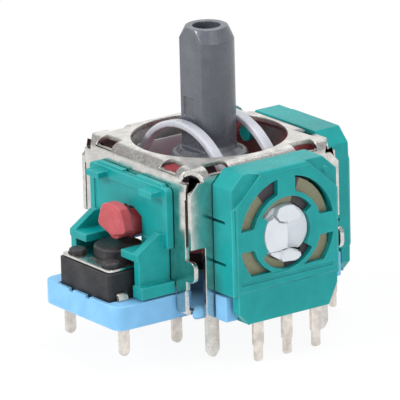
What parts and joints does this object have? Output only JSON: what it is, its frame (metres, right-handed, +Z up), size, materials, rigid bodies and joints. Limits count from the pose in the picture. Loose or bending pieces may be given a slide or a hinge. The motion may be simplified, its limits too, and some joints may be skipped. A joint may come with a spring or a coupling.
{
  "type": "controller analog stick",
  "caption": "Two-axis analog stick module for a game controller: gimballed stick in a sheet-metal frame, rotary sensors on two sides and a push switch on a third.",
  "frame": {"origin": "on the stick's axis, at the underside of the base, where the circuit board lies", "axes": "+Z up along the stick at rest, -Y towards the push switch, +X towards the first rotary sensor"},
  "size_m": [0.0159, 0.0204, 0.0219],
  "materials": {
    "teal_plastic": "satin moulded",
    "blue_plastic": "satin moulded",
    "grey_plastic": "satin moulded",
    "red_plastic": "satin moulded",
    "white_plastic": "satin moulded",
    "milky_plastic": "slightly translucent moulded",
    "black_plastic": "satin moulded",
    "nickel_sheet": "bright tinned sheet",
    "tinned_pin": "tinned",
    "laminate": "matt laminate with carbon tracks",
    "spring_steel": "bright wire",
    "bronze_contact": "bright strip"
  },
  "bodies": {
    "module": {"base_tray": "blue_plastic", "frame_cover": "nickel_sheet", "switch_side_holder": "teal_plastic", "pot_housing_x": "teal_plastic", "pot_housing_y": "teal_plastic", "resistor_board_x": "laminate", "resistor_board_y": "laminate", "pot_terminal_x_1": "tinned_pin", "pot_terminal_x_2": "tinned_pin", "pot_terminal_x_3": "tinned_pin", "pot_terminal_y_1": "tinned_pin", "pot_terminal_y_2": "tinned_pin", "pot_terminal_y_3": "tinned_pin", "switch_body": "black_plastic", "switch_cover_plate": "nickel_sheet", "switch_dome": "spring_steel", "switch_terminal_1": "tinned_pin", "switch_terminal_2": "tinned_pin", "switch_terminal_3": "tinned_pin", "switch_terminal_4": "tinned_pin", "return_spring": "spring_steel"},
    "arch": {"upper_arm": "milky_plastic", "rotor_x": "white_plastic", "wiper_x": "bronze_contact"},
    "rotor_carrier": {"rotor_y": "white_plastic", "wiper_y": "bronze_contact"},
    "cradle": {"lower_arm": "red_plastic"},
    "stick": {"lever": "grey_plastic"},
    "slider": {"centering_slider": "black_plastic"},
    "button": {"switch_plunger": "black_plastic"}
  },
  "joints": [
    {"name": "tilt_y", "type": "hinge", "parent": "module", "child": "rotor_carrier", "pos_m": [0, 0, 0.006], "axis": [0, 1, 0], "range_deg": [-18, 18], "stiffness_Nm_per_rad": 0.002},
    {"name": "press", "type": "hinge", "parent": "rotor_carrier", "child": "cradle", "pos_m": [0, 0.007, 0.006], "axis": [1, 0, 0], "range_deg": [0, 1.7], "stiffness_Nm_per_rad": 0.02},
    {"name": "tilt_x", "type": "hinge", "parent": "cradle", "child": "stick", "pos_m": [0, 0, 0.006], "axis": [1, 0, 0], "range_deg": [-18, 18], "stiffness_Nm_per_rad": 0.002},
    {"name": "arch_turn", "type": "hinge", "parent": "module", "child": "arch", "pos_m": [0, 0, 0.006], "axis": [1, 0, 0], "range_deg": [-18, 18]},
    {"name": "slider_travel", "type": "slide", "parent": "module", "child": "slider", "axis": [0, 0, -1], "range_m": [0, 0.0005], "stiffness_N_per_m": 300, "deforming": ["return_spring"]},
    {"name": "button_travel", "type": "slide", "parent": "module", "child": "button", "axis": [0, 0, -1], "range_m": [0, 0.00025]}
  ],
  "couplings": [
    {"joint": "arch_turn", "follows": "tilt_x", "ratio": 1},
    {"joint": "button_travel", "follows": "press", "m_per_rad": 0.008}
  ]
}
